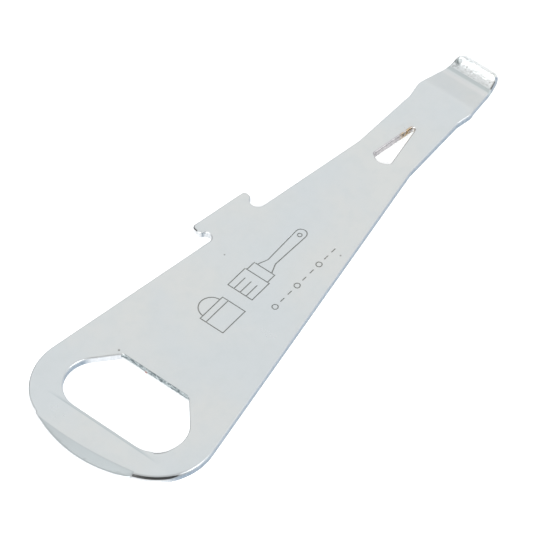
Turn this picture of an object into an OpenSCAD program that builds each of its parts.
// Painter's multi tool: one blank of plated steel sheet, stamped, coined and bent.
// Wide end: bottle opener with a coined, slightly raised scraping edge.
// Left edge: hooked tab. Narrow end: nail slot and a curled tip for prising lids.
// Design coordinates: x runs from the wide end's rim (0) towards the tip, y = 0 is
// the centre line and z = 0 is the flat upper face. Lengths are in millimetres.

/* [Sheet] */
// Thickness of the steel sheet
sheet_t = 2.3; // [2:0.1:2.6]

/* [Wide end] */
// Distance from the rim to the centres of the two corner arcs
corner_x = 19.6; // [19:0.1:21]
// Distance of the corner arcs' centres from the centre line
corner_y = 9.7; // [9:0.1:10.5]
// Radius of the corner arcs
corner_r = 16.9; // [16.5:0.1:17.5]
// Angle between each long edge and the centre line
taper_angle = 9.76; // [9.5:0.01:10]
// Radius of the coined rim
rim_r = 37.5; // [36:0.5:40]
// Half the length of the coined rim, across the tool
rim_half = 15.5; // [14:0.1:16]
// Where the coined slope starts, at its nearest to the rim
coin_x = 2.7; // [2.5:0.1:3.2]
// Radius of the curve along which the slope starts
coin_r = 95; // [80:5:120]
// How far the middle of that curve lies to the left of the centre line
coin_y = 5.9; // [0:0.1:7]
// Slope of the coined face
coin_slope = 27; // [20:1:28]
// Where the end strip bends up
end_bend_x = 10.6; // [10:0.1:11]
// How far the end strip is bent up
end_bend = 7; // [4:0.5:8]
// Inner radius of that bend
end_bend_r = 10; // [8:1:14]

/* [Bottle opening] */
// Distance from the rim to the centres of the opening's round corners
opening_x = 20.1; // [19.8:0.1:20.5]
// Distance of those centres from the centre line
opening_y = 10.1; // [9.5:0.1:10.5]
// Radius of the round corners
opening_r = 8.3; // [8:0.1:8.5]
// Angle between the opening's slanted sides and the centre line
opening_angle = 41.8; // [40:0.1:44]
// Distance from the rim to the straight lifting edge
lift_x = 31.7; // [30.5:0.1:32]

/* [Neck] */
// Where the long edges meet the neck
neck_x = 125.3; // [124:0.1:127]
// Where the neck starts to flare
flare_x = 146.6; // [146:0.1:147]
// Half the width of the neck where it starts to flare
flare_half = 8; // [7.8:0.1:8.2]
// Where the flare is widest
shoulder_x = 151.4; // [151:0.1:152]
// Half the width of the flare at its widest
shoulder_half = 8.85; // [8.5:0.05:9]
// Radius that rounds the shoulder
shoulder_r = 1.6; // [1:0.1:2]
// Angle between the tip's sides and the centre line
tip_taper = 9.4; // [8:0.1:10]

/* [Nail slot] */
// Where the slot's round base is deepest
slot_x = 123.3; // [123:0.1:124]
// Radius of the round base
slot_base_r = 3.3; // [3.1:0.1:3.6]
// Half the width of the slot at its base
slot_half = 2.75; // [2.6:0.05:2.9]
// Radius of the slot's narrow end
slot_tip_r = 0.6; // [0.5:0.1:0.9]
// Where the narrow end's arc has its centre
slot_tip_x = 137.7; // [137:0.1:141]

/* [Side tab] */
// Distance from the rim to the notch on the wide end's side of the tab
tab_x = 74.1; // [70:0.1:80]
// Distance between the two notches
tab_pitch = 18.8; // [17:0.1:20]
// How far the tab stands out from the long edge
tab_h = 6.8; // [6.5:0.1:7.5]
// Radius of the notch on the wide end's side
notch_a_r = 1.7; // [1.5:0.1:1.9]
// Radius of the notch on the tip's side
notch_b_r = 2.2; // [1.8:0.1:2.2]
// Radius of the tab's hooked corners
hook_r = 1.1; // [1:0.1:1.3]

/* [Tip] */
// Where the tip bends down
dip_x = 152.5; // [152:0.1:153]
// How far the tip bends down
dip_angle = 10.6; // [8:0.1:12]
// Inner radius of that bend
dip_r = 5; // [3:1:8]
// Straight length between the two bends of the tip
dip_len = 6.95; // [6.5:0.05:7.2]
// Inner radius of the curled lip
lip_r = 5; // [4:0.5:6]
// Angle at which the lip ends, above the flat face
lip_angle = 58; // [40:1:60]
// Radius of the lip's two corners
lip_corner_r = 2.2; // [1.5:0.1:2.6]

/* [Emblem] */
// Width of the engraved lines
line_w = 0.6; // [0.5:0.1:0.8]
// Depth of the engraved lines
line_depth = 0.2; // [0.1:0.05:0.3]
// Where the emblem starts along the tool
emblem_x = 53; // [52:0.5:56]
// Where the emblem's base line lies, from the centre line
emblem_y = -4.5; // [-5:0.5:-4]
// Distance between the marks of the small row
mark_pitch = 3; // [2.6:0.1:3.2]
// Number of marks in the small row
mark_count = 9; // [5:1:9]

/* [Hidden] */
$fn = 64;
zinc = "#d5d9da";
arc_step = 3;    // turn from one point of an arc to the next, in degrees
end_run = 14;    // end strip beyond its bend, before the rim is cut out of it
over = 30;       // reach of the cutting blocks beyond the sheet

// Points of an arc about c, from one direction to another, in degrees
function arc(c, r, from, to) =
    let (steps = ceil(abs(to - from) / arc_step))
    [for (i = [0:steps]) c + r * dir(from + (to - from) * i / steps)];

function dir(angle) = [cos(angle), sin(angle)];

// Direction from c to the point where the line from p touches the circle (c, r)
function touch_angle(p, c, r, side) =
    atan2(p[1] - c[1], p[0] - c[0]) + side * acos(r / norm(p - c));

function reversed(points) = [for (i = [len(points) - 1:-1:0]) points[i]];

function mirrored(points) = [for (p = reversed(points)) [p[0], -p[1]]];

// ---- side view: x along the tool, z up ----

end_c = [end_bend_x, end_bend_r];
dip_c = [dip_x, -dip_r - sheet_t];
dip_end = dip_c + (dip_r + sheet_t) * dir(90 - dip_angle) + dip_len * dir(-dip_angle);
lip_c = dip_end + lip_r * dir(90 - dip_angle);

// Line of the sheet at a depth below its upper face
function sheet_line(depth) = concat(
    [end_c + (end_bend_r + depth) * dir(270 - end_bend) + end_run * dir(180 - end_bend)],
    arc(end_c, end_bend_r + depth, 270 - end_bend, 270),
    arc(dip_c, dip_r + sheet_t - depth, 90, 90 - dip_angle),
    arc(lip_c, lip_r + depth, 270 - dip_angle, 270 + lip_angle));

// Size over all, for placing the origin
tool_l = lip_c[0] + (lip_r + sheet_t) * sin(lip_angle);
lowest_z = lip_c[1] - lip_r - sheet_t;
lip_end = lip_c + lip_r * dir(270 + lip_angle);

// Height of the raised end strip's upper face where the coined slope starts
coin_z = end_bend_r * (1 - cos(end_bend))
       + (end_bend_x - end_bend_r * sin(end_bend) - coin_x) * tan(end_bend);

// ---- plan view: x along the tool, y across it ----

corner_c = [corner_x, corner_y];
edge_start = corner_c + corner_r * dir(90 - taper_angle);

// A point on the left long edge, and one given along that edge (u) and out from it (v)
function on_edge(x) = [x, edge_start[1] - (x - edge_start[0]) * tan(taper_angle)];
function by_tab(p) = on_edge(tab_x) + p[0] * dir(-taper_angle) + p[1] * dir(90 - taper_angle);

// Rim and corner of the wide end
rim_turn = asin(rim_half / rim_r);
corner_turn = asin((rim_half - corner_y) / corner_r);
end_line = concat(
    arc([rim_r, 0], rim_r, 180, 180 - rim_turn),
    arc(corner_c, corner_r, 180 - corner_turn, 90 - taper_angle));

// Tab: a notch, two hooked corners and the second notch; each hook's lower arc
// touches its notch
hook_a = [hook_r - 0.2, tab_h - hook_r];
hook_b = [tab_pitch - 0.6 - hook_r, tab_h - hook_r];
notch_a = [0, notch_a_r];
notch_b = [tab_pitch, notch_b_r];
lean_a = acos((hook_a[0] - notch_a[0]) / (notch_a_r + hook_r));
lean_b = acos((notch_b[0] - hook_b[0]) / (notch_b_r + hook_r));
low_a = notch_a + (notch_a_r + hook_r) * dir(lean_a);
low_b = notch_b + (notch_b_r + hook_r) * dir(180 - lean_b);
tab_line = concat(
    arc(notch_a, notch_a_r, -90, lean_a),
    arc(low_a, hook_r, lean_a + 180, 180),
    arc(hook_a, hook_r, 180, 90),
    arc(hook_b, hook_r, 90, 0),
    arc(low_b, hook_r, 0, -lean_b),
    arc(notch_b, notch_b_r, 180 - lean_b, 270));

// Neck, shoulder and tip
shoulder_c = [shoulder_x, shoulder_half - shoulder_r];
neck_end = [flare_x, flare_half];
tip_start = shoulder_c + shoulder_r * dir(90 - tip_taper);
function tip_half(x) = tip_start[1] - (x - tip_start[0]) * tan(tip_taper);
neck_line = concat(
    [on_edge(neck_x), neck_end],
    arc(shoulder_c, shoulder_r, touch_angle(neck_end, shoulder_c, shoulder_r, -1),
        90 - tip_taper),
    [[tool_l + 1, tip_half(tool_l + 1)]]);

left_line = concat(end_line, [for (p = tab_line) by_tab(p)], neck_line);
right_line = concat(end_line, neck_line);

// Opening that takes a crown cap; its straight far side lifts the cap's skirt
opening_c = [opening_x, opening_y];
opening_side = opening_c + opening_r * dir(90 - opening_angle);
lift_half = opening_side[1] - (lift_x - opening_side[0]) * tan(opening_angle);
opening_line = concat(
    arc(opening_c, opening_r, 180, 90 - opening_angle),
    [[lift_x, lift_half]]);

// Tapering slot that grips a nail's shank
slot_base_c = [slot_x + slot_base_r, 0];
slot_base_turn = asin(slot_half / slot_base_r);
slot_corner = slot_base_c + slot_base_r * dir(180 - slot_base_turn);
slot_tip_c = [slot_tip_x, 0];
slot_line = concat(
    arc(slot_base_c, slot_base_r, 180, 180 - slot_base_turn),
    arc(slot_tip_c, slot_tip_r, touch_angle(slot_corner, slot_tip_c, slot_tip_r, -1), 0));

// ---- engraved emblem: a paint tin, a flat brush and a row of small marks ----

// A line from a to b with square ends that reach half a line's width past both
module engraved_line(a, b) {
    translate(a) rotate(atan2(b[1] - a[1], b[0] - a[0]))
        translate([-line_w / 2, -line_w / 2]) square([norm(b - a) + line_w, line_w]);
}

module engraved_path(points) {
    for (i = [0:len(points) - 2])
        engraved_line(points[i], points[i + 1]);
}

module engraved_ring(r) {
    difference() {
        circle(r + line_w / 2);
        circle(r - line_w / 2);
    }
}

module tin_mark() {
    engraved_path([[0, 0], [9, 0], [9, 7.5], [0, 7.5], [0, 0]]);
    engraved_line([0, 5.6], [9, 5.6]);
    intersection() {
        translate([4.5, 7.5]) engraved_ring(3.4);
        translate([0, 7.5]) square([9, 5]);
    }
}

module brush_mark() {
    engraved_path([[0, 1], [7, 1], [7, 9], [0, 9], [0, 1]]);
    for (y = [3, 5, 7])
        engraved_line([0, y], [4.5, y]);
    engraved_path([[7, 1.6], [10, 1.6], [10, 8.4], [7, 8.4]]);
    engraved_path([[10, 7.4], [13, 6.2], [25, 6.6]]);
    engraved_path([[10, 2.6], [13, 3.8], [25, 3.4]]);
    intersection() {
        translate([25, 5]) engraved_ring(1.6);
        translate([25, 2]) square([4, 6]);
    }
    translate([24.5, 5]) engraved_ring(0.6);
}

module small_marks() {
    for (i = [0:mark_count - 1])
        translate([i * mark_pitch, 0])
            if (i % 3 == 0) engraved_ring(0.8);
            else engraved_line([-0.7, 0], [0.7, 0]);
}

module emblem_plan() {
    translate([emblem_x, emblem_y]) {
        tin_mark();
        translate([13, 0]) brush_mark();
        translate([15, -5]) small_marks();
    }
}

// ---- the tool ----

// The sheet bent to its side view, wider than the tool
module bent_sheet() {
    rotate([90, 0, 0]) linear_extrude(4 * over, center = true)
        polygon(concat(sheet_line(0), reversed(sheet_line(sheet_t))));
}

// The blank's outline and its two openings, thicker than the bent sheet is high
module blank() {
    linear_extrude(over, center = true) difference() {
        polygon(concat(left_line, mirrored(right_line)));
        polygon(concat(opening_line, mirrored(opening_line)));
        polygon(concat(slot_line, mirrored(slot_line)));
    }
}

// Everything above the coined slope at the rim
module coined_off() {
    rise = over * tan(coin_slope);
    intersection() {
        translate([coin_x + coin_r, coin_y, coin_z]) rotate_extrude($fn = 180)
            polygon([[coin_r, 0], [coin_r + over, -rise], [coin_r + over, over], [coin_r, over]]);
        translate([-over, -rim_half, -over]) cube([2 * over, 2 * rim_half, 2 * over]);
    }
}

// Everything outside one rounded corner of the lip, cut square to the lip's end
module lip_corner_off() {
    side_y = tip_half(lip_end[0] - lip_corner_r * cos(lip_angle));
    translate([lip_end[0], 0, lip_end[1]]) rotate([0, -lip_angle, 0])
        translate([-lip_corner_r, side_y - lip_corner_r, -over / 2])
            difference() {
                cube([2 * lip_corner_r, 2 * lip_corner_r, over]);
                translate([0, 0, -1]) cylinder(r = lip_corner_r, h = over + 2);
            }
}

module tool_plate() {
    color(zinc) translate([-tool_l / 2, 0, -lowest_z])
        difference() {
            intersection() {
                bent_sheet();
                blank();
            }
            coined_off();
            lip_corner_off();
            mirror([0, 1, 0]) lip_corner_off();
            translate([0, 0, -line_depth]) linear_extrude(1) emblem_plan();
        }
}

tool_plate();
